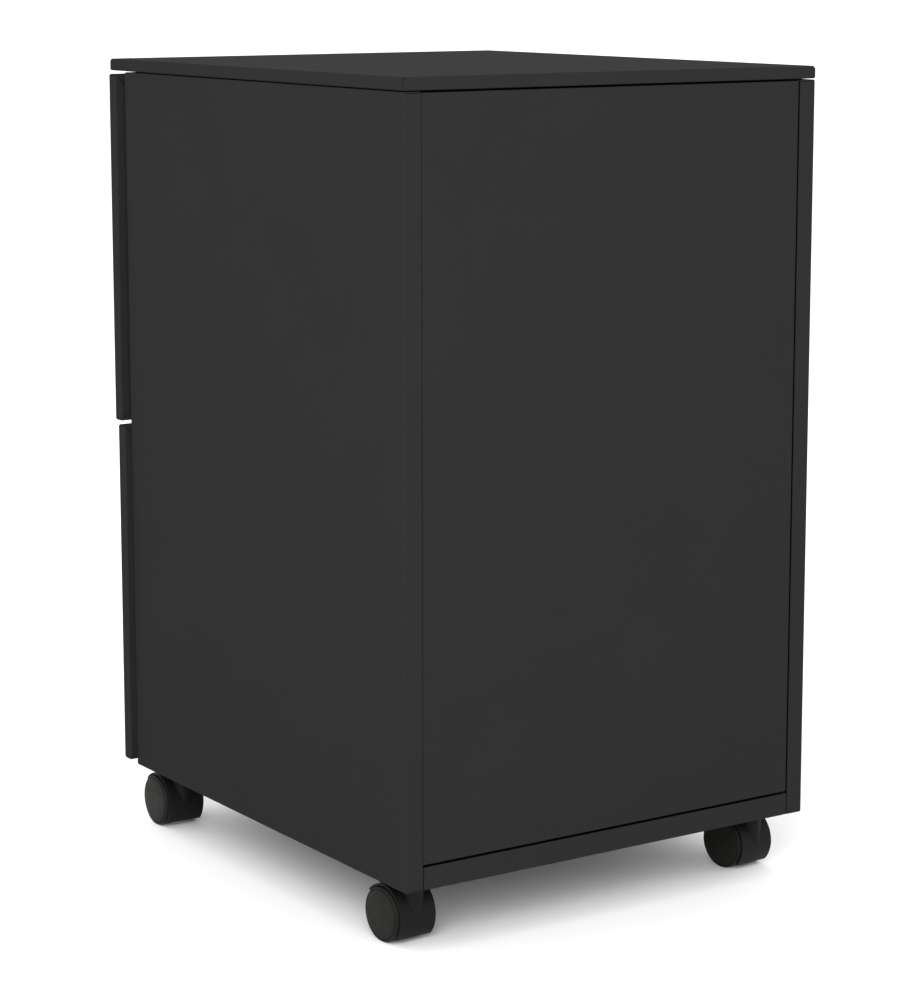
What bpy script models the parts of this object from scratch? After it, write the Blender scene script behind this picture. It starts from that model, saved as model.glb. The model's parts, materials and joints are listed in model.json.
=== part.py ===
"""Rolling pedestal cabinet: a folded sheet-steel carcass on four hooded twin-wheel castors, with two
file drawers on three-part ball-bearing runners.

Metres, +Z up. The origin is on the floor under the middle of the whole cabinet. The drawers open
towards -Y, so the back panel faces +Y, and "left" and "right" are as seen from the front.
"""

import math

import bmesh
import bpy
from mathutils import Matrix, Vector

# ---------------------------------------------------------------- driving dimensions

WIDTH = 0.390  # of the carcass and its cover; the drawer fronts overhang them
DEPTH = 0.460
HEIGHT = 0.6654

SHELL_SHEET = 0.0012  # top cover and bottom pan
PANEL_SHEET = 0.0010  # side panels, back panel, uprights and drawer fronts
DRAWER_SHEET = 0.0008
GAP = 0.0003  # between pieces that are fastened face to face
SEAM = 0.0008  # open seam between neighbouring panels

COVER_HEIGHT = 0.0100
COVER_RIM = 0.0120
COVER_OVERHANG = 0.0259  # ahead of the carcass
SIDE_FLANGE = 0.0155
BACK_FLANGE = 0.0120
PAN_FLANGE = 0.0180
BACK_RECESS = 0.0008

FRONT_THICKNESS = 0.0120
FRONT_STANDOFF = 0.0010  # closed drawer fronts ahead of the carcass
FRONT_OVERHANG = 0.0054  # beyond the carcass at each side
FRONT_GAP = 0.0036  # between the two fronts
FRONT_HEAD_GAP = 0.0025  # under the top cover
FRONT_FOOT_GAP = 0.0045  # above the carcass's lower edge
FRONT_RIM = 0.0160
LINER_FLANGE = 0.0030

UPRIGHT_WIDTH = 0.0300
UPRIGHT_INSET = 0.0170
TOP_RAIL_DEPTH = 0.0180
TOP_RAIL_CLEARANCE = 0.0060  # above the upper drawer's file rails

RESTING_OPENING = {"lower": 0.0, "upper": 0.0050}  # how far each drawer stands open at rest

RUNNER_END_CLEARANCE = 0.0183  # ahead of the back panel's flange
RUNNER_SETBACK = 0.0020  # behind the carcass's front flange
RUNNER_SHEET = 0.0012
RUNNER_HEIGHT = 0.0450
RUNNER_THICKNESS = 0.0127
RACE = 0.0040  # room for the balls between two nested members
RUNNER_WEB_GAP = 0.0013
MIDDLE_SETBACK = 0.0010  # middle member behind the outer one's front end
MIDDLE_END_CLEARANCE = 0.0030
INNER_SETBACK = 0.0020  # inner member behind the tray's front edge
INNER_END_CLEARANCE = 0.0040
RUNNER_OPEN_EDGE = 0.0020  # how far the outer and middle members' flanges stop short of the drawer
RUNNER_LIFT = 0.0700  # drawer floor to runner centre line

TRAY_END_CLEARANCE = 0.0265  # ahead of the back panel's flange
TRAY_FOOT = 0.0160  # drawer front's lower edge to drawer floor
TRAY_HEAD = 0.0260  # drawer front's upper edge to tray's upper edge
TRAY_BACK_DROP = 0.0120
TRAY_BACK_FLANGE = 0.0100

FILE_RAIL_LEG = 0.0120
FILE_RAIL_WALL = 0.0012
FILE_RAIL_SETBACK = 0.0040  # behind the drawer front
FILE_RAIL_END_CLEARANCE = 0.0217  # ahead of the tray's rear edge

GRIP_WIDTH = 0.1120
GRIP_HEIGHT = 0.0360
GRIP_DEPTH = 0.0160  # behind the front's face, through the liner
GRIP_WALL = 0.0015
GRIP_BEZEL = 0.0060
GRIP_BEZEL_THICKNESS = 0.0011
GRIP_LIP = 0.0080
GRIP_DROP = 0.0600  # drawer front's upper edge to grip centre

WHEEL_RADIUS = 0.0217
WHEEL_WIDTH = 0.0122
WHEEL_EDGE = 0.0018
WHEEL_DOME = 0.0010
DOME_SHOULDER = 0.55  # of the wheel's radius, where its domed face turns down
DOME_SHOULDER_DROP = 0.35  # of the dome's height
WHEEL_CLEARANCE = 0.0008  # beside the hood's web
AXLE_RADIUS = 0.0030
AXLE_RUNNING_GAP = 0.00015
AXLE_COVER = 0.0030  # wheel left outside the axle's ends
AXLE_END_CLEARANCE = 0.0005
HOOD_WEB = 0.0110
HOOD_WALL = 0.0016
HOOD_CLEARANCE = 0.0008
HOOD_END_INSET = 0.0020  # within the wheels' outer faces
HOOD_HUB = 0.7  # of the hood's radius, the web's round lower edge
HOOD_OPEN_ANGLE = 40.0  # where the hood's rim starts, ahead of the wheels
HOOD_FOOT_ANGLE = 225.0  # where it ends, low behind the wheels
CASTOR_TRAIL = 0.0160
BOSS_RADIUS = 0.0085
BOSS_RISE = 0.0025
STEM_RADIUS = 0.0040
STEM_RUNNING_GAP = 0.00015
STEM_DEPTH = 0.0200
STEM_END_CLEARANCE = 0.0010
SWIVEL_GAP = 0.0010
PLATE_SIDE = 0.0420
PLATE_THICKNESS = 0.0025
PLATE_HOLE_RADIUS = 0.0026
PLATE_HOLE_INSET = 0.0055
CASTOR_INSET_SIDE = 0.0270
CASTOR_INSET_BACK = 0.0325
CASTOR_INSET_FRONT = 0.0320  # behind the carcass's front

ROUND_STEPS = 32
SMALL_STEPS = 20
HOLE_STEPS = 12
OVERREACH = 0.0100  # how far a cutter runs past what it cuts

# ---------------------------------------------------------------- levels and lines that follow from them

HOOD_RADIUS = WHEEL_RADIUS + HOOD_CLEARANCE + HOOD_WALL
BOSS_TOP = WHEEL_RADIUS + HOOD_RADIUS + BOSS_RISE
PLATE_BOTTOM = BOSS_TOP + SWIVEL_GAP
CARCASS_BOTTOM = PLATE_BOTTOM + PLATE_THICKNESS + GAP
COVER_BOTTOM = HEIGHT - COVER_HEIGHT
CARCASS_TOP = COVER_BOTTOM - SEAM

HALF_WIDTH = WIDTH / 2
BACK_Y = DEPTH / 2
COVER_FRONT_Y = -DEPTH / 2
CARCASS_FRONT_Y = COVER_FRONT_Y + COVER_OVERHANG
FRONT_BACK_Y = CARCASS_FRONT_Y - FRONT_STANDOFF
FRONT_FACE_Y = FRONT_BACK_Y - FRONT_THICKNESS
BACK_PANEL_Y = BACK_Y - BACK_RECESS

OPENING_X = HALF_WIDTH - SIDE_FLANGE
INNER_PANEL_X = OPENING_X - SEAM
RUNNER_BACK_X = OPENING_X - GAP
TRAY_X = RUNNER_BACK_X - RUNNER_THICKNESS - GAP

FRONT_HEIGHT = (COVER_BOTTOM - FRONT_HEAD_GAP - CARCASS_BOTTOM - FRONT_FOOT_GAP - FRONT_GAP) / 2
LOWER_FRONT_Z = CARCASS_BOTTOM + FRONT_FOOT_GAP
UPPER_FRONT_Z = LOWER_FRONT_Z + FRONT_HEIGHT + FRONT_GAP
TRAY_HEIGHT = FRONT_HEIGHT - TRAY_FOOT - TRAY_HEAD
TRAY_FRONT_Y = FRONT_BACK_Y + GAP
BACK_FLANGE_Y = BACK_PANEL_Y - BACK_FLANGE
TRAY_LENGTH = BACK_FLANGE_Y - TRAY_END_CLEARANCE - TRAY_FRONT_Y
FILE_RAIL_LENGTH = TRAY_LENGTH - FILE_RAIL_SETBACK - FILE_RAIL_END_CLEARANCE
FILE_RAIL_RISE = GAP + FILE_RAIL_WALL
TOP_RAIL_BOTTOM = UPPER_FRONT_Z + FRONT_HEIGHT - TRAY_HEAD + FILE_RAIL_RISE + TOP_RAIL_CLEARANCE

UP = Vector((0, 0, 1))

# Each castor's place (side, end) and the way it trails at rest, in degrees about +Z from +X.
CASTORS = {
    "back_right": (1, 1, -87.0),
    "back_left": (-1, 1, -85.0),
    "front_right": (1, -1, -91.0),
    "front_left": (-1, -1, -98.0),
}

# ---------------------------------------------------------------- scene, materials and small tools

for stale in list(bpy.data.objects):
    bpy.data.objects.remove(stale, do_unlink=True)

PARTS = bpy.data.collections.new("rolling_pedestal_cabinet")
CUTTERS = bpy.data.collections.new("cutters")
for collection in (PARTS, CUTTERS):
    bpy.context.scene.collection.children.link(collection)


def material(name, colour, roughness, metallic):
    made = bpy.data.materials.new(name)
    made.use_nodes = True
    shader = made.node_tree.nodes["Principled BSDF"]
    shader.inputs["Base Color"].default_value = (*colour, 1.0)
    shader.inputs["Roughness"].default_value = roughness
    shader.inputs["Metallic"].default_value = metallic
    return made


POWDER_COAT = material("charcoal_powder_coat", (0.033, 0.033, 0.034), 0.55, 0.0)
ZINC = material("zinc_plated_steel", (0.55, 0.56, 0.58), 0.35, 1.0)
BLACK_NYLON = material("black_nylon", (0.022, 0.022, 0.020), 0.50, 0.0)
GREY_NYLON = material("dark_grey_nylon", (0.040, 0.041, 0.036), 0.45, 0.0)
RAIL_PLASTIC = material("rail_plastic", (0.045, 0.045, 0.047), 0.50, 0.0)


def add(name, mesh, finish=None, helper=False):
    """An object of this mesh: a part of the cabinet, or a helper that is only cut with or joined on."""
    made = bpy.data.objects.new(name, mesh)
    (CUTTERS if helper else PARTS).objects.link(made)
    if helper:
        made.hide_render = True
        made.display_type = "WIRE"
    elif not mesh.materials:
        mesh.materials.append(finish)
    return made


def mesh_of(name, bm):
    mesh = bpy.data.meshes.new(name)
    bm.to_mesh(mesh)
    bm.free()
    return mesh


def cube_between(low, high):
    bm = bmesh.new()
    bmesh.ops.create_cube(bm, size=1.0)
    low, high = Vector(low), Vector(high)
    size, centre = high - low, (high + low) / 2
    bmesh.ops.transform(bm, matrix=Matrix.Translation(centre) @ Matrix.Diagonal((*size, 1.0)), verts=bm.verts)
    return bm


def block(name, low, high, finish=None, helper=False):
    return add(name, mesh_of(name, cube_between(low, high)), finish, helper)


def drum(name, radius, start, end, finish=None, helper=False, steps=SMALL_STEPS):
    """A cylinder from one point to another."""
    start, end = Vector(start), Vector(end)
    bm = bmesh.new()
    bmesh.ops.create_cone(
        bm, cap_ends=True, segments=steps, radius1=radius, radius2=radius, depth=(end - start).length
    )
    turn = (end - start).to_track_quat("Z", "Y").to_matrix().to_4x4()
    bmesh.ops.transform(bm, matrix=Matrix.Translation((start + end) / 2) @ turn, verts=bm.verts)
    return add(name, mesh_of(name, bm), finish, helper)


def solidify(obj, thickness, offset=-1.0):
    made = obj.modifiers.new("sheet", "SOLIDIFY")
    made.thickness = thickness
    made.offset = offset
    made.use_even_offset = True
    return obj


def tray(name, low, high, sheet, open_side, finish, rim=0.0):
    """A folded sheet box, open on one side, where an inward rim of the given width may remain."""
    bm = cube_between(low, high)
    bm.normal_update()
    mouth = max(bm.faces, key=lambda face: face.normal.dot(Vector(open_side)))
    if rim:
        bmesh.ops.inset_individual(bm, faces=[mouth], thickness=rim, use_even_offset=True)
    bmesh.ops.delete(bm, geom=[mouth], context="FACES")
    return solidify(add(name, mesh_of(name, bm), finish), sheet)


def folded_strip(name, outline, travel, sheet, finish, inward):
    """A sheet folded along an open outline of points and drawn along a vector. inward is the Solidify offset
    that lays the sheet's thickness on the outline's inner side."""
    bm = bmesh.new()
    path = [bm.verts.new(point) for point in outline]
    edges = [bm.edges.new(pair) for pair in zip(path, path[1:])]
    drawn = bmesh.ops.extrude_edge_only(bm, edges=edges)["geom"]
    moved = [item for item in drawn if isinstance(item, bmesh.types.BMVert)]
    bmesh.ops.translate(bm, vec=travel, verts=moved)
    return solidify(add(name, mesh_of(name, bm), finish), sheet, inward)


def plate(name, outline, thickness, finish=None, helper=False):
    """A flat plate from a closed outline in the XY plane, centred on Z = 0, as a mesh."""
    curve = bpy.data.curves.new(name, "CURVE")
    curve.dimensions = "2D"
    curve.fill_mode = "BOTH"
    curve.extrude = thickness / 2
    spline = curve.splines.new("POLY")
    spline.points.add(len(outline) - 1)
    for point, (x, y) in zip(spline.points, outline):
        point.co = (x, y, 0.0, 1.0)
    spline.use_cyclic_u = True
    guide = bpy.data.objects.new(name + "_outline", curve)
    CUTTERS.objects.link(guide)
    bpy.context.view_layer.update()
    mesh = bpy.data.meshes.new_from_object(guide.evaluated_get(bpy.context.evaluated_depsgraph_get()))
    bpy.data.objects.remove(guide, do_unlink=True)
    bm = bmesh.new()
    bm.from_mesh(mesh)
    bmesh.ops.remove_doubles(bm, verts=bm.verts, dist=1e-6)
    bmesh.ops.recalc_face_normals(bm, faces=bm.faces)
    bm.to_mesh(mesh)
    bm.free()
    mesh.materials.clear()
    return add(name, mesh, finish, helper)


def turned(name, profile, finish, steps=ROUND_STEPS):
    """A solid turned about Z from (radius, height) points that run down its outer side."""
    bm = bmesh.new()
    points = [bm.verts.new((radius, 0.0, height)) for radius, height in profile]
    for pair in zip(points, points[1:]):
        bm.edges.new(pair)
    made = add(name, mesh_of(name, bm), finish)
    screw = made.modifiers.new("turn", "SCREW")
    screw.steps = screw.render_steps = steps
    screw.use_merge_vertices = True
    screw.merge_threshold = 1e-6
    screw.use_smooth_shade = False
    return made


def combine(target, other, operation):
    made = target.modifiers.new(operation.lower(), "BOOLEAN")
    made.operation = operation
    made.solver = "EXACT"
    made.object = other
    return target


def cut(target, *cutters):
    for cutter in cutters:
        combine(target, cutter, "DIFFERENCE")
    return target


def join(target, *others):
    for other in others:
        combine(target, other, "UNION")
    return target


def baked(name, source):
    """The mesh of an object with its modifiers applied, for copies to share. The source is removed."""
    bpy.context.view_layer.update()
    mesh = bpy.data.meshes.new_from_object(source.evaluated_get(bpy.context.evaluated_depsgraph_get()))
    mesh.name = name
    bpy.data.objects.remove(source, do_unlink=True)
    return mesh


def arc(centre, radius, start, end, steps):
    """Points along an arc, in degrees, both ends included."""
    angles = [math.radians(start + (end - start) * i / steps) for i in range(steps + 1)]
    return [(centre[0] + radius * math.cos(a), centre[1] + radius * math.sin(a)) for a in angles]


def mirrored(side, x1, x2):
    """An X range on the right (side 1) or left (side -1), lowest first."""
    return sorted((side * x1, side * x2))


# ---------------------------------------------------------------- carcass


def make_top_cover():
    tray(
        "top_cover",
        (-HALF_WIDTH, COVER_FRONT_Y, COVER_BOTTOM),
        (HALF_WIDTH, BACK_Y, HEIGHT),
        SHELL_SHEET,
        -UP,
        POWDER_COAT,
        rim=COVER_RIM,
    )


def make_side_panel(name, side):
    low_x, high_x = mirrored(side, OPENING_X, HALF_WIDTH)
    tray(
        name,
        (low_x, CARCASS_FRONT_Y, CARCASS_BOTTOM),
        (high_x, BACK_Y, CARCASS_TOP),
        PANEL_SHEET,
        (-side, 0, 0),
        POWDER_COAT,
    )


def make_back_panel():
    tray(
        "back_panel",
        (-INNER_PANEL_X, BACK_FLANGE_Y, CARCASS_BOTTOM + PAN_FLANGE + 2 * SEAM),
        (INNER_PANEL_X, BACK_PANEL_Y, CARCASS_TOP - SEAM),
        PANEL_SHEET,
        (0, -1, 0),
        POWDER_COAT,
    )


def make_bottom_pan():
    tray(
        "bottom_pan",
        (-INNER_PANEL_X, CARCASS_FRONT_Y, CARCASS_BOTTOM),
        (INNER_PANEL_X, BACK_Y, CARCASS_BOTTOM + PAN_FLANGE),
        SHELL_SHEET,
        UP,
        POWDER_COAT,
    )


def make_upright(name, side, middle_y):
    """A channel that stands in the side panel and carries the runners. Its open side faces the panel."""
    web_x = side * OPENING_X
    back_x = side * (HALF_WIDTH - PANEL_SHEET - GAP)
    near_y, far_y = middle_y - UPRIGHT_WIDTH / 2, middle_y + UPRIGHT_WIDTH / 2
    foot_z = CARCASS_BOTTOM + PANEL_SHEET + GAP
    head_z = CARCASS_TOP - PANEL_SHEET - GAP
    outline = [(back_x, near_y, foot_z), (web_x, near_y, foot_z), (web_x, far_y, foot_z), (back_x, far_y, foot_z)]
    folded_strip(name, outline, (0, 0, head_z - foot_z), PANEL_SHEET, POWDER_COAT, -side)


def make_front_top_rail():
    """The angle that closes the carcass above the drawers."""
    half = OPENING_X - GAP
    face_y = CARCASS_FRONT_Y + GAP
    top_z = CARCASS_TOP - GAP
    outline = [
        (-half, face_y, TOP_RAIL_BOTTOM),
        (-half, face_y, top_z),
        (-half, face_y + TOP_RAIL_DEPTH, top_z),
    ]
    folded_strip("front_top_rail", outline, (2 * half, 0, 0), PANEL_SHEET, POWDER_COAT, -1)


# ---------------------------------------------------------------- runners

RUNNER_FRONT_Y = CARCASS_FRONT_Y + PANEL_SHEET + RUNNER_SETBACK
RUNNER_LENGTH = BACK_FLANGE_Y - RUNNER_END_CLEARANCE - RUNNER_FRONT_Y
MIDDLE_HEIGHT = RUNNER_HEIGHT - 2 * (RUNNER_SHEET + RACE)
INNER_HEIGHT = MIDDLE_HEIGHT - 2 * (RUNNER_SHEET + RACE)
MIDDLE_BACK_X = RUNNER_BACK_X - RUNNER_SHEET - RUNNER_WEB_GAP
MOUTH_X = RUNNER_BACK_X - RUNNER_THICKNESS + RUNNER_OPEN_EDGE
INNER_WEB_X = RUNNER_BACK_X - RUNNER_THICKNESS
INNER_TIP_X = MIDDLE_BACK_X - RUNNER_SHEET - RUNNER_WEB_GAP


def make_runner_member(name, side, centre_z, height, web_x, tip_x, front_y, length, inward):
    """One drawn channel of a runner, with its web at web_x and its two flanges ending at tip_x."""
    top_z, foot_z = centre_z + height / 2, centre_z - height / 2
    outline = [(tip_x, top_z), (web_x, top_z), (web_x, foot_z), (tip_x, foot_z)]
    points = [(side * x, front_y, z) for x, z in outline]
    folded_strip(name, points, (0, length, 0), RUNNER_SHEET, ZINC, inward * side)


def make_runner(drawer, hand, side, centre_z):
    prefix = f"{drawer}_{hand}_runner"
    make_runner_member(
        f"{prefix}_outer", side, centre_z, RUNNER_HEIGHT, RUNNER_BACK_X, MOUTH_X, RUNNER_FRONT_Y, RUNNER_LENGTH, 1
    )
    make_runner_member(
        f"{prefix}_middle",
        side,
        centre_z,
        MIDDLE_HEIGHT,
        MIDDLE_BACK_X,
        MOUTH_X,
        RUNNER_FRONT_Y + MIDDLE_SETBACK,
        RUNNER_LENGTH - MIDDLE_SETBACK - MIDDLE_END_CLEARANCE,
        1,
    )
    make_runner_member(
        f"{prefix}_inner",
        side,
        centre_z,
        INNER_HEIGHT,
        INNER_WEB_X,
        INNER_TIP_X,
        TRAY_FRONT_Y + INNER_SETBACK,
        TRAY_LENGTH - INNER_SETBACK - INNER_END_CLEARANCE,
        -1,
    )


# ---------------------------------------------------------------- drawers


def make_drawer_front(drawer, front_z):
    """The outer pan of the front and the inner pan that closes it and faces the files."""
    half = HALF_WIDTH + FRONT_OVERHANG
    outer = tray(
        f"{drawer}_drawer_front",
        (-half, FRONT_FACE_Y, front_z),
        (half, FRONT_BACK_Y, front_z + FRONT_HEIGHT),
        PANEL_SHEET,
        (0, 1, 0),
        POWDER_COAT,
        rim=FRONT_RIM,
    )
    inset = FRONT_RIM + GAP
    liner = tray(
        f"{drawer}_drawer_front_liner",
        (-half + inset, FRONT_BACK_Y - LINER_FLANGE, front_z + inset),
        (half - inset, FRONT_BACK_Y, front_z + FRONT_HEIGHT - inset),
        PANEL_SHEET,
        (0, -1, 0),
        POWDER_COAT,
    )
    return outer, liner


def make_grip(drawer, pans, front_z):
    """A moulded cup let through the front, with a bezel round it and a lip that the fingers hook behind."""
    centre_z = front_z + FRONT_HEIGHT - GRIP_DROP
    half_w, half_h = GRIP_WIDTH / 2, GRIP_HEIGHT / 2
    face_y = FRONT_FACE_Y - GAP
    bezel_y = face_y - GRIP_BEZEL_THICKNESS
    cup_end_y = FRONT_FACE_Y + GRIP_DEPTH
    slot = block(
        f"{drawer}_grip_hole",
        (-half_w - GAP, FRONT_FACE_Y - OVERREACH, centre_z - half_h - GAP),
        (half_w + GAP, FRONT_BACK_Y + OVERREACH, centre_z + half_h + GAP),
        helper=True,
    )
    for pan in pans:
        cut(pan, slot)
    grip = block(
        f"{drawer}_drawer_grip",
        (-half_w - GRIP_BEZEL, bezel_y, centre_z - half_h - GRIP_BEZEL),
        (half_w + GRIP_BEZEL, face_y, centre_z + half_h + GRIP_BEZEL),
        BLACK_NYLON,
    )
    cup = block(
        f"{drawer}_grip_cup",
        (-half_w, face_y - GRIP_BEZEL_THICKNESS / 2, centre_z - half_h),
        (half_w, cup_end_y, centre_z + half_h),
        helper=True,
    )
    lip_y = bezel_y + GRIP_WALL
    pocket = block(
        f"{drawer}_grip_pocket",
        (-half_w + GRIP_WALL, lip_y, centre_z - half_h + GRIP_WALL),
        (half_w - GRIP_WALL, cup_end_y - GRIP_WALL, centre_z + half_h - GRIP_WALL),
        helper=True,
    )
    mouth = block(
        f"{drawer}_grip_mouth",
        (-half_w + GRIP_WALL, bezel_y - OVERREACH, centre_z - half_h + GRIP_WALL),
        (half_w - GRIP_WALL, lip_y + GRIP_WALL, centre_z + half_h - GRIP_WALL - GRIP_LIP),
        helper=True,
    )
    join(grip, cup)
    cut(grip, pocket, mouth)


def make_tray(drawer, front_z):
    """The folded drawer body: floor and two sides in one sheet, and a separate back between them."""
    foot_z = front_z + TRAY_FOOT
    head_z = foot_z + TRAY_HEIGHT
    outline = [(-TRAY_X, head_z), (-TRAY_X, foot_z), (TRAY_X, foot_z), (TRAY_X, head_z)]
    points = [(x, TRAY_FRONT_Y, z) for x, z in outline]
    folded_strip(f"{drawer}_drawer_tray", points, (0, TRAY_LENGTH, 0), DRAWER_SHEET, POWDER_COAT, -1)
    inside_x = TRAY_X - DRAWER_SHEET - GAP
    back_y = TRAY_FRONT_Y + TRAY_LENGTH - GAP
    tray(
        f"{drawer}_drawer_back",
        (-inside_x, back_y - TRAY_BACK_FLANGE, foot_z + DRAWER_SHEET + GAP),
        (inside_x, back_y, head_z - TRAY_BACK_DROP),
        DRAWER_SHEET,
        (0, 1, 0),
        POWDER_COAT,
    )


def make_file_rail(drawer, hand, side, head_z):
    """A moulded channel pressed over the tray's upper edge. The hooks of hanging files rest on it."""
    outer_x = TRAY_X + GAP + FILE_RAIL_WALL
    inner_x = TRAY_X - DRAWER_SHEET - GAP - FILE_RAIL_WALL
    top_z = head_z + FILE_RAIL_RISE
    foot_z = top_z - FILE_RAIL_LEG
    front_y = TRAY_FRONT_Y + FILE_RAIL_SETBACK
    outline = [(inner_x, foot_z), (inner_x, top_z), (outer_x, top_z), (outer_x, foot_z)]
    points = [(side * x, front_y, z) for x, z in outline]
    folded_strip(
        f"{drawer}_{hand}_file_rail", points, (0, FILE_RAIL_LENGTH, 0), FILE_RAIL_WALL, RAIL_PLASTIC, side
    )


def hang_on_slides(drawer):
    """Parents what slides to two empties at their resting places. The middle members travel half as far."""
    slides = {}
    for label, share in (("drawer", 1.0), ("runner_middle", 0.5)):
        slides[label] = bpy.data.objects.new(f"{drawer}_{label}_slide", None)
        PARTS.objects.link(slides[label])
        slides[label].location = (0, -RESTING_OPENING[drawer] * share, 0)
    for piece in [*PARTS.objects, *CUTTERS.objects]:
        if piece.type != "MESH" or not piece.name.startswith(drawer) or piece.name.endswith("_outer"):
            continue
        piece.parent = slides["runner_middle" if piece.name.endswith("_middle") else "drawer"]


def make_drawer(drawer, front_z):
    make_grip(drawer, make_drawer_front(drawer, front_z), front_z)
    make_tray(drawer, front_z)
    foot_z = front_z + TRAY_FOOT
    for hand, side in (("left", -1), ("right", 1)):
        make_runner(drawer, hand, side, foot_z + RUNNER_LIFT)
        make_file_rail(drawer, hand, side, foot_z + TRAY_HEIGHT)
    hang_on_slides(drawer)


# ---------------------------------------------------------------- castors
# Modelled with the swivel axis on Z and the wheels trailing along +X, then copied to the corners.

AXLE_CENTRE = Vector((CASTOR_TRAIL, 0, WHEEL_RADIUS))
WHEEL_INNER_FACE = HOOD_WEB / 2 + WHEEL_CLEARANCE
WHEEL_OUTER_FACE = WHEEL_INNER_FACE + WHEEL_WIDTH
AXLE_HALF = WHEEL_OUTER_FACE - AXLE_COVER


def hood_mesh():
    """A web between the wheels, and a rim over both of them, under the boss that takes the stem."""
    centre = (CASTOR_TRAIL, WHEEL_RADIUS)
    hub_radius = HOOD_RADIUS * HOOD_HUB
    outline = arc(centre, HOOD_RADIUS, HOOD_OPEN_ANGLE, HOOD_FOOT_ANGLE, 24)
    outline += arc(centre, hub_radius, HOOD_FOOT_ANGLE, HOOD_OPEN_ANGLE + 360, 14)
    hood = plate("castor_hood", outline, 2 * (WHEEL_OUTER_FACE - HOOD_END_INSET), BLACK_NYLON)
    hood.data.transform(Matrix.Rotation(math.radians(90), 4, "X"))
    boss = drum("hood_boss", BOSS_RADIUS, (0, 0, WHEEL_RADIUS), (0, 0, BOSS_TOP), helper=True)
    join(hood, boss)
    well = WHEEL_RADIUS + HOOD_CLEARANCE
    for side in (-1, 1):
        cutter = drum(
            f"wheel_well_{side}",
            well,
            AXLE_CENTRE + Vector((0, side * HOOD_WEB / 2, 0)),
            AXLE_CENTRE + Vector((0, side * (WHEEL_OUTER_FACE + OVERREACH), 0)),
            helper=True,
            steps=ROUND_STEPS,
        )
        cut(hood, cutter)
    stem_end = PLATE_BOTTOM - STEM_DEPTH - STEM_END_CLEARANCE
    stem_hole = drum(
        "stem_hole", STEM_RADIUS + STEM_RUNNING_GAP, (0, 0, stem_end), (0, 0, BOSS_TOP + OVERREACH), helper=True
    )
    reach = Vector((0, HOOD_WEB, 0))
    axle_hole = drum(
        "axle_hole", AXLE_RADIUS + GAP, AXLE_CENTRE - reach, AXLE_CENTRE + reach, helper=True
    )
    cut(hood, stem_hole, axle_hole)
    return baked("castor_hood", hood)


def wheel_mesh():
    """A closed disc with a domed face at +Z and a blind bore for the axle in its inner face at Z = 0."""
    bore = AXLE_RADIUS + AXLE_RUNNING_GAP
    bore_end = AXLE_HALF - WHEEL_INNER_FACE + AXLE_END_CLEARANCE
    dome_z = WHEEL_WIDTH + WHEEL_DOME
    profile = [
        (0.0, dome_z),
        (WHEEL_RADIUS * DOME_SHOULDER, dome_z - WHEEL_DOME * DOME_SHOULDER_DROP),
        (WHEEL_RADIUS - WHEEL_EDGE, WHEEL_WIDTH),
        (WHEEL_RADIUS, WHEEL_WIDTH - WHEEL_EDGE),
        (WHEEL_RADIUS, WHEEL_EDGE),
        (WHEEL_RADIUS - WHEEL_EDGE, 0.0),
        (bore, 0.0),
        (bore, bore_end),
        (0.0, bore_end),
    ]
    return baked("castor_wheel", turned("castor_wheel", profile, GREY_NYLON))


def swivel_plate_mesh():
    """The fixing plate with four screw holes and the stem that the castor turns on."""
    half = PLATE_SIDE / 2
    made = block("plate", (-half, -half, PLATE_BOTTOM), (half, half, PLATE_BOTTOM + PLATE_THICKNESS), ZINC)
    stem = drum(
        "stem", STEM_RADIUS, (0, 0, PLATE_BOTTOM - STEM_DEPTH), (0, 0, PLATE_BOTTOM + PLATE_THICKNESS / 2), helper=True
    )
    join(made, stem)
    hole = half - PLATE_HOLE_INSET
    for x in (-hole, hole):
        for y in (-hole, hole):
            cutter = drum(
                "plate_hole",
                PLATE_HOLE_RADIUS,
                (x, y, PLATE_BOTTOM - OVERREACH),
                (x, y, PLATE_BOTTOM + OVERREACH),
                helper=True,
                steps=HOLE_STEPS,
            )
            cut(made, cutter)
    return baked("castor_plate", made)


def axle_mesh():
    reach = Vector((0, AXLE_HALF, 0))
    return baked("castor_axle", drum("axle", AXLE_RADIUS, AXLE_CENTRE - reach, AXLE_CENTRE + reach, ZINC))


def make_castors():
    hood, wheel, fixing, axle = hood_mesh(), wheel_mesh(), swivel_plate_mesh(), axle_mesh()
    for corner, (side, end, heading) in CASTORS.items():
        x = side * (HALF_WIDTH - CASTOR_INSET_SIDE)
        y = BACK_Y - CASTOR_INSET_BACK if end > 0 else CARCASS_FRONT_Y + CASTOR_INSET_FRONT
        add(f"castor_{corner}_plate", fixing).location = (x, y, 0)
        pivot = bpy.data.objects.new(f"castor_{corner}_swivel", None)
        PARTS.objects.link(pivot)
        pivot.location = (x, y, 0)
        pivot.rotation_euler = (0, 0, math.radians(heading))
        for name, mesh in (("hood", hood), ("axle", axle)):
            add(f"castor_{corner}_{name}", mesh).parent = pivot
        for label, face in (("wheel_a", 1), ("wheel_b", -1)):
            made = add(f"castor_{corner}_{label}", wheel)
            made.parent = pivot
            made.location = AXLE_CENTRE + Vector((0, face * WHEEL_INNER_FACE, 0))
            made.rotation_euler = (math.radians(-90 * face), 0, 0)


# ---------------------------------------------------------------- the cabinet

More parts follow.
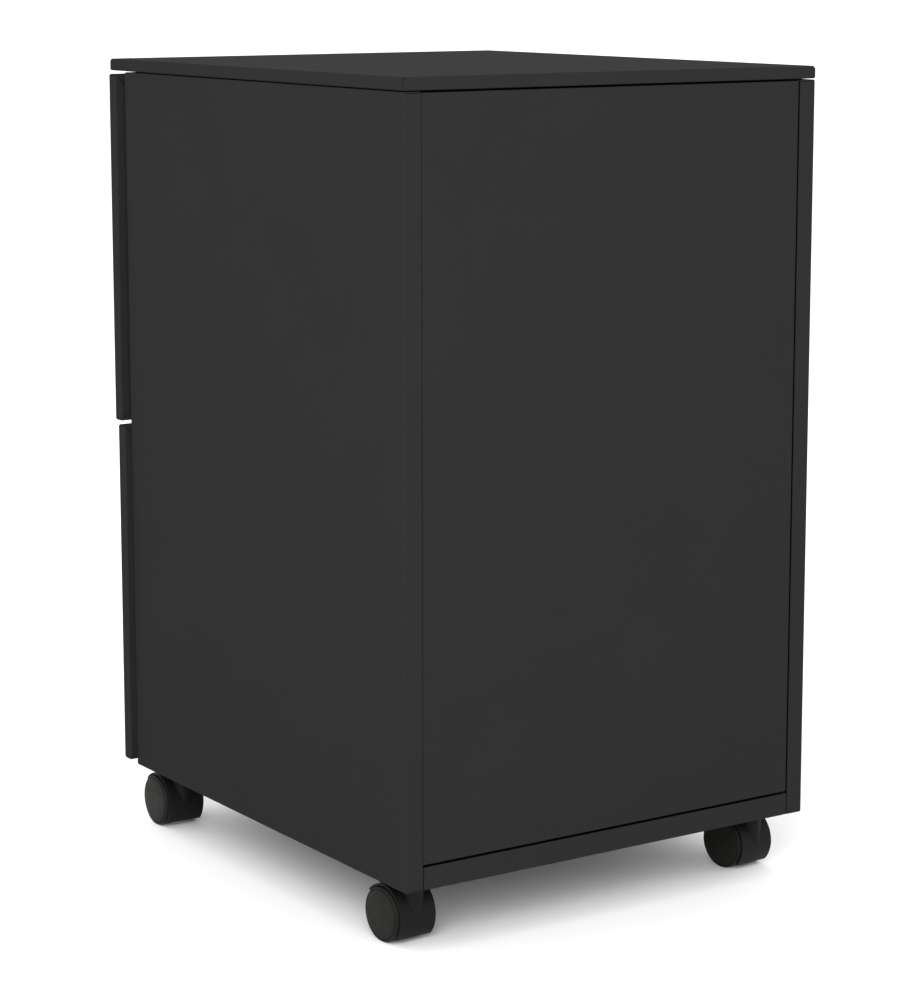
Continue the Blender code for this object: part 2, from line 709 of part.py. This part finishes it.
make_top_cover()
make_side_panel("left_side_panel", -1)
make_side_panel("right_side_panel", 1)
make_back_panel()
make_bottom_pan()
for hand, side in (("left", -1), ("right", 1)):
    half_upright = UPRIGHT_WIDTH / 2
    make_upright(f"{hand}_front_upright", side, CARCASS_FRONT_Y + UPRIGHT_INSET + half_upright)
    make_upright(f"{hand}_back_upright", side, RUNNER_FRONT_Y + RUNNER_LENGTH - UPRIGHT_INSET - half_upright)
make_front_top_rail()
make_drawer("lower", LOWER_FRONT_Z)
make_drawer("upper", UPPER_FRONT_Z)
make_castors()

for part in PARTS.objects:
    if part.type == "MESH" and part.name.startswith("castor"):
        part.data.shade_smooth()
        part.data.set_sharp_from_angle(angle=math.radians(35))
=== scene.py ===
"""Looks for the rolling pedestal cabinet: folded sheet-steel skins, powder coat, castors and fittings,
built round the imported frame, with the camera, lights and floor."""

import json
import math

import bmesh
import bpy
from mathutils import Matrix, Vector


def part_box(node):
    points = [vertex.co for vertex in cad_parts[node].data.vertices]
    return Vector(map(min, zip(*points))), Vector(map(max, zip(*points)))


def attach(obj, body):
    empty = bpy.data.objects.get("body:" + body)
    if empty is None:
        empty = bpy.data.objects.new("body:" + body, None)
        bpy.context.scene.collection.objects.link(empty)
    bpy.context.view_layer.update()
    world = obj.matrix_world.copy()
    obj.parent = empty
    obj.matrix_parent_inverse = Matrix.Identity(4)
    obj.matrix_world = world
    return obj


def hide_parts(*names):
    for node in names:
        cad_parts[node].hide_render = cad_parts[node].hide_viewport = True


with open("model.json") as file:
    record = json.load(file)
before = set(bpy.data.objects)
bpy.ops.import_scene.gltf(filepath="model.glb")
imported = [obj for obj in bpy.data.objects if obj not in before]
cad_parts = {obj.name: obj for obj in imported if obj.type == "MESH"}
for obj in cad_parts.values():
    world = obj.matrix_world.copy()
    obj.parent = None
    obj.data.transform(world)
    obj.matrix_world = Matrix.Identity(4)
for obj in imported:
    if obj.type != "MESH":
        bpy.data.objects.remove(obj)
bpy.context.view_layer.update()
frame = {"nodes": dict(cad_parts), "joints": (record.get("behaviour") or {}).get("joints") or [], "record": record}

# ---------------------------------------------------------------- sizes, in metres

SHEET = 0.0010
COVER_SHEET = 0.0012
COVER_RIM = 0.0120
FRONT_RIM = 0.0160
BEND = 0.0014  # outer radius of a folded edge
COVER_BEND = 0.0014
LINER_BEND = 0.0012
INSET_BEND = 0.0008  # of the back and the floor pan, which sit between the sides
BEND_STEPS = 5
RELIEF = 0.0008  # notch at the end of a bend
SIDE_RELIEF = 0.0004
COVER_RELIEF = 0.0014
CORNER_GAP = 0.0003  # left between two flanges that meet
BROKEN_EDGE = 0.0002  # chamfer along the sheet's own edges

GRIP_BEZEL = 0.0060
RUNNER_SHEET = 0.0012
RACE = 0.0040  # height of the channel that the balls run in
BALL = 0.0018  # radius
BALL_PITCH = 0.0160
BALLS = 9
CAGE_SHEET = 0.0008
CAGE_WIDTH = 0.0046
CAGE_END = 0.0120  # from the end of the middle member to the cage
RUNNER_SCREW_RADIUS = 0.0030
RUNNER_SCREW_HEIGHT = 0.0010
RUNNER_SCREW_FRONT = 0.0300  # from the front end of the inner member
RUNNER_SCREW_BACK = 0.0400  # from its back end

WHEEL_RADIUS = 0.0217
WHEEL_WIDTH = 0.0122
WHEEL_DOME = 0.0010
WHEEL_INNER_FACE = 0.0063  # from the middle of the axle
WHEEL_BORE = 0.00315  # radius
WHEEL_BORE_DEPTH = 0.0097
WHEEL_INNER_ROUND = 0.0020  # of the tread, towards the other wheel
WHEEL_OUTER_ROUND = 0.0014
WHEEL_RECESS = 0.0012  # depth, between the hub and the tread of the inner face
WHEEL_GROOVE = 0.0005  # depth, round the crown of the outer face
WHEEL_CROWN_INSET = 0.0028
PLATE_HOLE_INSET = 0.0055
PLATE_THICKNESS = 0.0025
PLATE_SCREW_RADIUS = 0.0038
PLATE_SCREW_HEIGHT = 0.0018
SWIVEL_GAP = 0.0010  # between the plate and the hood
SWIVEL_BORE = 0.0046  # radius
SWIVEL_RADIUS = 0.0079
BUMPER_RADIUS = 0.0042
BUMPER_HEIGHT = 0.0008
BUMPER_INSET = 0.0300  # from a front's lower and upper edge

CAMERA_AZIMUTH = 146.06
CAMERA_ELEVATION = 9.47
CAMERA_LENS = 104.9
CAMERA_DISTANCE = 2.4505
CAMERA_AIM = Vector((-0.0094, 0.0024, 0.3498))
CAMERA_SHIFT = -0.06

FLOOR_REACH = 12.0
SKY_STRENGTH = 1.34
LAMPS_AIM = Vector((0, 0, 0.3))
LAMPS = (  # name, place, diameter in metres, watts
    ("overhead", (0.3, 0.2, 3.2), 2.6, 2.0),
    ("key", (2.3, 2.7, 1.9), 2.4, 100.0),
    ("front", (0.4, -3.0, 2.2), 2.6, 16.0),
)

DRAWERS = ("lower", "upper")
HANDS = {"left": -1, "right": 1}
CARCASS = "carcass"
JOINTS = {joint["name"]: joint for joint in frame["joints"]}


# ---------------------------------------------------------------- materials


class Nodes:
    """A material's node tree with short ways to add and link nodes."""

    def __init__(self, name):
        self.material = bpy.data.materials.new(name)
        self.material.use_nodes = True
        self.tree = self.material.node_tree
        self.shader = self.tree.nodes["Principled BSDF"]
        self.place = self.add("ShaderNodeTexCoord").outputs["Object"]

    def add(self, kind, **settings):
        node = self.tree.nodes.new(kind)
        for key, value in settings.items():
            setattr(node, key, value)
        return node

    def link(self, source, target):
        self.tree.links.new(source, target)

    def noise(self, scale, detail=4.0, roughness=0.55, stretch=None):
        place = self.place
        if stretch:
            mapping = self.add("ShaderNodeMapping")
            mapping.inputs["Scale"].default_value = stretch
            self.link(self.place, mapping.inputs["Vector"])
            place = mapping.outputs["Vector"]
        node = self.add("ShaderNodeTexNoise")
        node.inputs["Scale"].default_value = scale
        node.inputs["Detail"].default_value = detail
        node.inputs["Roughness"].default_value = roughness
        self.link(place, node.inputs["Vector"])
        return node.outputs["Fac"]

    def span(self, value, low, high, from_low=0.35, from_high=0.65):
        """A value spread over a range of numbers."""
        node = self.add("ShaderNodeMapRange")
        for key, number in (("From Min", from_low), ("From Max", from_high), ("To Min", low), ("To Max", high)):
            node.inputs[key].default_value = number
        self.link(value, node.inputs["Value"])
        return node.outputs["Result"]

    def blend(self, value, first, second):
        node = self.add("ShaderNodeMix", data_type="RGBA")
        for socket, colour in ((node.inputs[6], first), (node.inputs[7], second)):
            if isinstance(colour, tuple):
                socket.default_value = (*colour, 1.0)
            else:
                self.link(colour, socket)
        self.link(value, node.inputs["Factor"])
        return node.outputs[2]

    def bump(self, height, distance, strength=1.0, under=None):
        node = self.add("ShaderNodeBump")
        node.inputs["Distance"].default_value = distance
        node.inputs["Strength"].default_value = strength
        self.link(height, node.inputs["Height"])
        if under:
            self.link(under, node.inputs["Normal"])
        return node.outputs["Normal"]

    def set(self, **values):
        for key, value in values.items():
            socket = self.shader.inputs[key.replace("_", " ")]
            if isinstance(value, bpy.types.NodeSocket):
                self.link(value, socket)
            elif isinstance(value, tuple):
                socket.default_value = (*value, 1.0)
            else:
                socket.default_value = value
        return self.material


def powder_coat():
    """Charcoal powder coat: a fine pebbled skin over a slow orange peel, very slightly uneven in tone."""
    n = Nodes("powder_coat")
    cloud = n.span(n.noise(14.0, 3.0), 0.0, 1.0)
    colour = n.blend(cloud, (0.0166, 0.0166, 0.0166), (0.0171, 0.0171, 0.0171))
    fleck = n.span(n.noise(2600.0, 2.0), 0.0, 1.0, 0.60, 0.72)
    colour = n.blend(fleck, colour, (0.0205, 0.0205, 0.0205))
    peel = n.bump(n.noise(330.0, 2.0), 0.00010, 0.45)
    pebble = n.bump(n.noise(1500.0, 3.0, 0.6), 0.00005, 0.7, peel)
    rough = n.span(n.noise(900.0, 4.0), 0.90, 0.96)
    return n.set(Base_Color=colour, Roughness=rough, Normal=pebble, Metallic=0.0, Specular_IOR_Level=0.02)


def zinc():
    """Bright zinc plate with the faint drawing lines of rolled section."""
    n = Nodes("zinc_steel")
    colour = n.blend(n.span(n.noise(60.0, 4.0), 0.0, 1.0), (0.27, 0.275, 0.285), (0.31, 0.315, 0.32))
    drawn = n.bump(n.noise(900.0, 3.0, stretch=(1.0, 0.02, 1.0)), 0.00003, 0.6)
    rough = n.span(n.noise(140.0, 4.0), 0.36, 0.44)
    return n.set(Base_Color=colour, Roughness=rough, Normal=drawn, Metallic=1.0)


def moulded(name, dark, light, rough_low, rough_high, grain, depth):
    """Moulded plastic with a spark-eroded grain."""
    n = Nodes(name)
    colour = n.blend(n.span(n.noise(45.0, 4.0), 0.0, 1.0), dark, light)
    skin = n.bump(n.noise(grain, 3.0, 0.6), depth, 0.7)
    rough = n.span(n.noise(90.0, 5.0), rough_low, rough_high)
    return n.set(Base_Color=colour, Roughness=rough, Normal=skin, Metallic=0.0, Specular_IOR_Level=0.11)


def tread_nylon():
    """Dark grey wheel nylon, paler where it has rolled."""
    n = Nodes("wheel_nylon")
    colour = n.blend(n.span(n.noise(70.0, 5.0), 0.0, 1.0), (0.0064, 0.0067, 0.0053), (0.0080, 0.0083, 0.0067))
    scuff = n.span(n.noise(420.0, 6.0, 0.7), 0.0, 1.0, 0.62, 0.74)
    colour = n.blend(scuff, colour, (0.0125, 0.0128, 0.0108))
    skin = n.bump(n.noise(900.0, 4.0, 0.6), 0.00005, 0.6)
    rough = n.span(n.noise(120.0, 5.0), 0.48, 0.60)
    return n.set(Base_Color=colour, Roughness=rough, Normal=skin, Metallic=0.0, Specular_IOR_Level=0.10)


def floor_paint():
    n = Nodes("studio_floor")
    colour = n.blend(n.span(n.noise(3.0, 3.0), 0.0, 1.0), (0.92, 0.92, 0.92), (0.94, 0.94, 0.94))
    return n.set(Base_Color=colour, Roughness=0.8, Metallic=0.0)


FINISH = {
    "powder_coat": powder_coat(),
    "zinc_steel": zinc(),
    "castor_nylon": moulded("castor_nylon", (0.0042, 0.0042, 0.0039), (0.0054, 0.0054, 0.0050), 0.52, 0.64,
                            1300.0, 0.00005),
    "wheel_nylon": tread_nylon(),
    "grip_plastic": moulded("grip_plastic", (0.009, 0.009, 0.0095), (0.013, 0.013, 0.0135), 0.42, 0.55,
                            1500.0, 0.00006),
    "rail_plastic": moulded("rail_plastic", (0.030, 0.030, 0.031), (0.042, 0.042, 0.043), 0.36, 0.48,
                            1100.0, 0.00004),
    "bumper_rubber": moulded("bumper_rubber", (0.012, 0.012, 0.012), (0.020, 0.020, 0.020), 0.62, 0.78,
                             800.0, 0.00005),
}


# ---------------------------------------------------------------- mesh tools


def piece(name, bm, body, slot, replaces=(), finish=None, smooth=35.0, outward=True):
    mesh = bpy.data.meshes.new(name)
    if outward:
        bmesh.ops.recalc_face_normals(bm, faces=bm.faces)
    bm.to_mesh(mesh)
    bm.free()
    mesh.shade_smooth()
    mesh.set_sharp_from_angle(angle=math.radians(smooth))
    mesh.materials.append(FINISH[finish or slot])
    made = bpy.data.objects.new(name, mesh)
    bpy.context.scene.collection.objects.link(made)
    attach(made, body)
    if replaces:
        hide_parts(*replaces)
    return made


def bevel(obj, width, segments=2, angle=30.0):
    made = obj.modifiers.new("edges", "BEVEL")
    made.width = width
    made.segments = segments
    made.limit_method = "ANGLE"
    made.angle_limit = math.radians(angle)
    made.use_clamp_overlap = True
    return obj


def even_shading(obj):
    made = obj.modifiers.new("shading", "WEIGHTED_NORMAL")
    made.keep_sharp = True
    return obj


def bend_section(bend, deep, rim):
    """Rows of a flange from the web's edge on: how far out, how deep, and which part of the bend or flat."""
    turns = [math.pi / 2 * i / BEND_STEPS for i in range(1, BEND_STEPS + 1)]
    rows = [(bend * math.sin(t), bend * (1 - math.cos(t)), "bend") for t in turns]
    rows.append((bend, bend + CORNER_GAP, "flat"))
    if rim:
        rows.append((bend, deep - bend, "flat"))
        rows += [(bend * math.cos(t), deep - bend + bend * math.sin(t), "rim") for t in turns]
        rows.append((bend - rim, deep, "rim"))
    else:
        rows.append((bend, deep, "flat"))
    return rows


def folded_pan(name, node, web, body, bend=BEND, sheet=SHEET, rim=0.0, relief=RELIEF, hole=None):
    """The folded sheet that a pan of the frame is made of: a web on the side that the vector web points to, and
    four flanges turned round a bend. The flanges along the first axis run over the ends of the other two, and
    the bends are notched at the corners. A hole is (low, high) on the two axes of the web."""
    low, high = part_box(node)
    along = max(range(3), key=lambda i: abs(web[i]))
    sign = 1 if web[along] > 0 else -1
    u, v = [i for i in range(3) if i != along]
    outer = high[along] if sign > 0 else low[along]
    stations = []
    for axis, place in ((u, 0), (v, 1)):
        marks = [low[axis] + bend, high[axis] - bend]
        if hole:
            marks[1:1] = [hole[0][place], hole[1][place]]
        stations.append(marks)
    bm = bmesh.new()

    def point(pu, pv, depth):
        co = Vector((0, 0, 0))
        co[u], co[v], co[along] = pu, pv, outer - sign * depth
        return bm.verts.new(co)

    grid = [[point(pu, pv, 0.0) for pv in stations[1]] for pu in stations[0]]
    for i in range(len(grid) - 1):
        for j in range(len(grid[0]) - 1):
            if not (hole and i == 1 and j == 1):
                bm.faces.new((grid[i][j], grid[i + 1][j], grid[i + 1][j + 1], grid[i][j + 1]))
    rows_of = bend_section(bend, abs(high[along] - low[along]), rim)
    for across, end in ((v, 0), (u, -1), (v, -1), (u, 0)):
        run = u if across == v else v
        marks = stations[0 if run == u else 1]
        edge = (high if end else low)[across]
        outward = 1 if end else -1
        previous = [grid[i][end] for i in range(len(grid))] if run == u else list(grid[end])
        butt = CORNER_GAP if run == u else sheet + CORNER_GAP
        for out, depth, part in rows_of:
            inset = bend - out
            short = {"bend": inset + relief, "flat": butt, "rim": max(butt, inset + CORNER_GAP)}[part]
            places = [low[run] + short, *marks[1:-1], high[run] - short]
            level = edge - outward * inset
            row = [point(p, level, depth) if run == u else point(level, p, depth) for p in places]
            for first, second, third, fourth in zip(previous, previous[1:], row[1:], row):
                bm.faces.new((first, second, third, fourth))
            previous = row
    bmesh.ops.recalc_face_normals(bm, faces=bm.faces)
    bm.faces.ensure_lookup_table()
    if bm.faces[0].normal[along] * sign < 0:
        bmesh.ops.reverse_faces(bm, faces=bm.faces)
    made = piece(name, bm, body, "powder_coat", (node,), outward=False)
    skin = made.modifiers.new("sheet", "SOLIDIFY")
    skin.thickness = sheet
    skin.offset = -1.0
    skin.use_even_offset = True
    bevel(made, BROKEN_EDGE, 1, 60.0)
    return even_shading(made)


def lathe(bm, profile, origin, axis, steps=48, shape=None):
    """Turns a closed profile of (radius, distance along the axis). For the rows that it names, shape gives the
    radius at each angle instead."""
    turn = axis.normalized().to_track_quat("Z", "Y").to_matrix().to_4x4()
    place = Matrix.Translation(origin) @ turn
    rings = []
    for index, (radius, along) in enumerate(profile):
        if radius == 0.0:
            rings.append([bm.verts.new(place @ Vector((0, 0, along)))])
            continue
        ring = []
        for k in range(steps):
            angle = 2 * math.pi * k / steps
            reach = shape(angle, radius) if shape and index in shape.rows else radius
            ring.append(bm.verts.new(place @ Vector((reach * math.cos(angle), reach * math.sin(angle), along))))
        rings.append(ring)
    for first, second in zip(rings, rings[1:]):
        for k in range(steps):
            n = (k + 1) % steps
            corners = [first[k % len(first)], first[n % len(first)], second[n % len(second)], second[k % len(second)]]
            bm.faces.new(list(dict.fromkeys(corners)))


class Hexagon:
    """Pushes the named rows of a lathe profile out to a hexagon, for a socket."""

    def __init__(self, rows):
        self.rows = rows

    def __call__(self, angle, radius):
        return radius / math.cos((angle + math.pi / 6) % (math.pi / 3) - math.pi / 6)


def screw(bm, place, axis, radius=0.0036, height=0.0019):
    """A button-head screw with a hexagon socket. Its head stands off the surface along the axis."""
    socket = radius * 0.42
    profile = [(0.0, 0.0), (radius, 0.0), (radius, height * 0.25)]
    for k in range(1, 5):
        angle = math.pi / 2 * k / 5
        profile.append((radius * (0.55 + 0.45 * math.cos(angle)), height * (0.25 + 0.75 * math.sin(angle))))
    profile += [(radius * 0.52, height), (socket, height), (socket, height * 0.35), (0.0, height * 0.35)]
    lathe(bm, profile, place, axis, 24, Hexagon({len(profile) - 3, len(profile) - 2}))


# ---------------------------------------------------------------- the carcass


def carcass_skins():
    folded_pan("cover", "top_cover", (0, 0, 1), CARCASS, COVER_BEND, COVER_SHEET, COVER_RIM, COVER_RELIEF)
    for hand, side in HANDS.items():
        folded_pan(f"{hand}_side", f"{hand}_side_panel", (side, 0, 0), CARCASS, relief=SIDE_RELIEF)
    folded_pan("back", "back_panel", (0, 1, 0), CARCASS, INSET_BEND, relief=CORNER_GAP)
    folded_pan("floor_pan", "bottom_pan", (0, 0, -1), CARCASS, INSET_BEND, COVER_SHEET, relief=CORNER_GAP)


def bumpers():
    """Rubber buttons on the carcass's front flanges that the drawer fronts close against."""
    bm = bmesh.new()
    for hand, side in HANDS.items():
        low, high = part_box(f"{hand}_side_panel")
        for drawer in DRAWERS:
            front_low, front_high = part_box(f"{drawer}_drawer_front")
            for z in (front_low.z + BUMPER_INSET, front_high.z - BUMPER_INSET):
                profile = [(0.0, 0.0), (BUMPER_RADIUS, 0.0), (BUMPER_RADIUS, BUMPER_HEIGHT * 0.5),
                           (BUMPER_RADIUS * 0.86, BUMPER_HEIGHT * 0.85), (BUMPER_RADIUS * 0.55, BUMPER_HEIGHT),
                           (0.0, BUMPER_HEIGHT)]
                lathe(bm, profile, Vector(((low.x + high.x) / 2, low.y, z)), Vector((0, -1, 0)), 28)
    piece("front_bumpers", bm, CARCASS, "grip_plastic", finish="bumper_rubber")


# ---------------------------------------------------------------- drawers


def drawer_skins(drawer):
    body = f"{drawer}_drawer"
    low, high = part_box(f"{drawer}_drawer_grip")
    inset = GRIP_BEZEL - CORNER_GAP
    hole = ((low.x + inset, low.z + inset), (high.x - inset, high.z - inset))
    folded_pan(f"{drawer}_front", f"{drawer}_drawer_front", (0, -1, 0), body, rim=FRONT_RIM, hole=hole)
    folded_pan(f"{drawer}_liner", f"{drawer}_drawer_front_liner", (0, 1, 0), body, bend=LINER_BEND, hole=hole)


def runner_fittings(drawer, hand, side):
    """The ball cages between the members of a runner, and the screws that hold its inner member to the tray."""
    prefix = f"{drawer}_{hand}_runner"
    boxes = {label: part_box(f"{prefix}_{label}") for label in ("outer", "middle", "inner")}
    bm = bmesh.new()
    length = BALL_PITCH * BALLS
    for outer, nested, start in (("outer", "middle", boxes["middle"][1].y - CAGE_END - length),
                                 ("middle", "inner", boxes["middle"][0].y + CAGE_END)):
        low, high = boxes[outer]
        left = max(low.x, boxes[nested][0].x)
        right = min(high.x, boxes[nested][1].x)
        x = (left + right) / 2
        for z in (high.z - RUNNER_SHEET - RACE / 2, low.z + RUNNER_SHEET + RACE / 2):
            size = Vector((CAGE_WIDTH, length, CAGE_SHEET))
            place = Matrix.Translation((x, start + length / 2, z)) @ Matrix.Diagonal((*size, 1.0))
            bmesh.ops.create_cube(bm, size=1.0, matrix=place)
            for k in range(BALLS):
                centre = Matrix.Translation((x, start + BALL_PITCH * (k + 0.5), z))
                bmesh.ops.create_icosphere(bm, subdivisions=2, radius=BALL, matrix=centre)
    piece(f"{prefix}_balls", bm, f"{prefix}_middle", "zinc_steel")
    bm = bmesh.new()
    low, high = boxes["inner"]
    web = low.x if side > 0 else high.x
    for y in (low.y + RUNNER_SCREW_FRONT, high.y - RUNNER_SCREW_BACK):
        screw(bm, Vector((web + side * RUNNER_SHEET, y, (low.z + high.z) / 2)), Vector((side, 0, 0)),
              RUNNER_SCREW_RADIUS, RUNNER_SCREW_HEIGHT)
    piece(f"{prefix}_screws", bm, f"{drawer}_drawer", "zinc_steel")


# ---------------------------------------------------------------- castors


def wheel_profile():
    """From the blind bore round the inner face, the tread and the grooved rim to the domed outer face."""
    radius, width = WHEEL_RADIUS, WHEEL_WIDTH
    inner, outer = WHEEL_INNER_ROUND, WHEEL_OUTER_ROUND
    profile = [(0.0, WHEEL_BORE_DEPTH), (WHEEL_BORE, WHEEL_BORE_DEPTH), (WHEEL_BORE, 0.0), (0.0078, 0.0),
               (0.0084, WHEEL_RECESS), (0.0166, WHEEL_RECESS), (0.0174, 0.0), (radius - inner, 0.0)]
    for k in range(1, 5):
        angle = math.pi / 2 * k / 4
        profile.append((radius - inner + inner * math.sin(angle), inner - inner * math.cos(angle)))
    for k in range(5):
        angle = math.pi / 2 * k / 4
        profile.append((radius - outer + outer * math.cos(angle), width - outer + outer * math.sin(angle)))
    profile += [(radius - 0.0016, width), (radius - 0.0018, width - WHEEL_GROOVE),
                (radius - 0.0023, width - WHEEL_GROOVE), (radius - 0.0025, width + 0.0001)]
    crown = radius - WHEEL_CROWN_INSET
    for k in range(9):
        share = 1 - k / 8
        profile.append((crown * share, width + WHEEL_DOME * (1 - 0.72 * share ** 2)))
    return profile


def castor(corner):
    """The turned wheels of one castor, its plate's screws and the ring that it swivels on."""
    for wheel, face in (("wheel_a", 1), ("wheel_b", -1)):
        body = f"castor_{corner}_{wheel}"
        spin = JOINTS[f"{body}_spin"]
        axis = face * Vector(spin["axis"]).normalized()
        bm = bmesh.new()
        lathe(bm, wheel_profile(), Vector(spin["pos_m"]) + axis * WHEEL_INNER_FACE, axis, 64)
        piece(f"{body}_turned", bm, body, "wheel_nylon", (body,), smooth=32.0)
    low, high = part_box(f"castor_{corner}_plate")
    plate_z = high.z - PLATE_THICKNESS
    middle = Vector(((low.x + high.x) / 2, (low.y + high.y) / 2, plate_z))
    bm = bmesh.new()
    for x in (low.x + PLATE_HOLE_INSET, high.x - PLATE_HOLE_INSET):
        for y in (low.y + PLATE_HOLE_INSET, high.y - PLATE_HOLE_INSET):
            screw(bm, Vector((x, y, plate_z)), Vector((0, 0, -1)), PLATE_SCREW_RADIUS, PLATE_SCREW_HEIGHT)
    ring = [(SWIVEL_BORE, 0.00005), (0.0075, 0.00005), (SWIVEL_RADIUS, 0.0003), (SWIVEL_RADIUS, SWIVEL_GAP - 0.0002),
            (0.0075, SWIVEL_GAP - 0.0001), (SWIVEL_BORE, SWIVEL_GAP - 0.0001), (SWIVEL_BORE, 0.00005)]
    lathe(bm, ring, middle, Vector((0, 0, -1)), 40)
    bmesh.ops.remove_doubles(bm, verts=bm.verts, dist=0.000001)
    piece(f"castor_{corner}_fixings", bm, CARCASS, "zinc_steel")


# ---------------------------------------------------------------- camera, light and floor


def stage():
    """The camera at the photograph's angle, a plain floor, and soft light from a pale sky and three lamps."""
    azimuth, elevation = math.radians(CAMERA_AZIMUTH), math.radians(CAMERA_ELEVATION)
    back = Vector((math.sin(azimuth) * math.cos(elevation), -math.cos(azimuth) * math.cos(elevation),
                   math.sin(elevation)))
    lens = bpy.data.cameras.new("camera")
    lens.lens = CAMERA_LENS
    lens.shift_y = CAMERA_SHIFT
    camera = bpy.data.objects.new("camera", lens)
    bpy.context.scene.collection.objects.link(camera)
    camera.location = CAMERA_AIM + back * CAMERA_DISTANCE
    camera.rotation_euler = back.to_track_quat("Z", "Y").to_euler()
    bpy.context.scene.camera = camera

    bm = bmesh.new()
    bmesh.ops.create_grid(bm, x_segments=2, y_segments=2, size=FLOOR_REACH)
    mesh = bpy.data.meshes.new("floor")
    bm.to_mesh(mesh)
    bm.free()
    mesh.materials.append(floor_paint())
    ground = bpy.data.objects.new("floor", mesh)
    bpy.context.scene.collection.objects.link(ground)

    world = bpy.data.worlds.new("studio")
    bpy.context.scene.world = world
    world.use_nodes = True
    sky = world.node_tree.nodes["Background"]
    sky.inputs["Color"].default_value = (1.0, 1.0, 1.0, 1.0)
    sky.inputs["Strength"].default_value = SKY_STRENGTH
    for name, spot, size, power in LAMPS:
        lamp = bpy.data.lights.new(name, "AREA")
        lamp.shape = "DISK"
        lamp.size = size
        lamp.energy = power
        made = bpy.data.objects.new(name, lamp)
        bpy.context.scene.collection.objects.link(made)
        made.location = spot
        made.rotation_euler = (Vector(spot) - LAMPS_AIM).to_track_quat("Z", "Y").to_euler()
    bpy.context.scene.view_settings.view_transform = "Standard"


# How far the edges of each kind of frame node that stays are rounded, and in how many steps.
ROUNDING = {
    "_upright": (0.0006, 2),
    "front_top_rail": (0.0006, 2),
    "_runner_outer": (0.0004, 2),
    "_runner_middle": (0.0004, 2),
    "_runner_inner": (0.0004, 2),
    "_drawer_tray": (0.0003, 2),
    "_drawer_back": (0.0003, 2),
    "_file_rail": (0.0004, 2),
    "_drawer_grip": (0.0006, 3),
    "_plate": (0.0005, 2),
    "_hood": (0.0010, 3),
    "_axle": (0.0005, 2),
}


def finish_cad_nodes():
    """Every frame node that stays gets its slot's finish, welded and with its edges broken."""
    slots = {s["node"]: s["material_slot"] for s in frame["record"]["subparts"]}
    for name, obj in frame["nodes"].items():
        obj.data.materials.clear()
        obj.data.materials.append(FINISH[slots[name]])
        width, segments = next((value for end, value in ROUNDING.items() if name.endswith(end)), (0.0, 0))
        if width and not obj.hide_render:
            weld = obj.modifiers.new("weld", "WELD")
            weld.merge_threshold = 0.00001
            even_shading(bevel(obj, width, segments, 35.0))


stage()
carcass_skins()
bumpers()
for drawer in DRAWERS:
    drawer_skins(drawer)
    for hand, side in HANDS.items():
        runner_fittings(drawer, hand, side)
for corner in sorted({name.split("_wheel")[0][7:] for name in JOINTS if name.endswith("wheel_a_spin")}):
    castor(corner)
finish_cad_nodes()
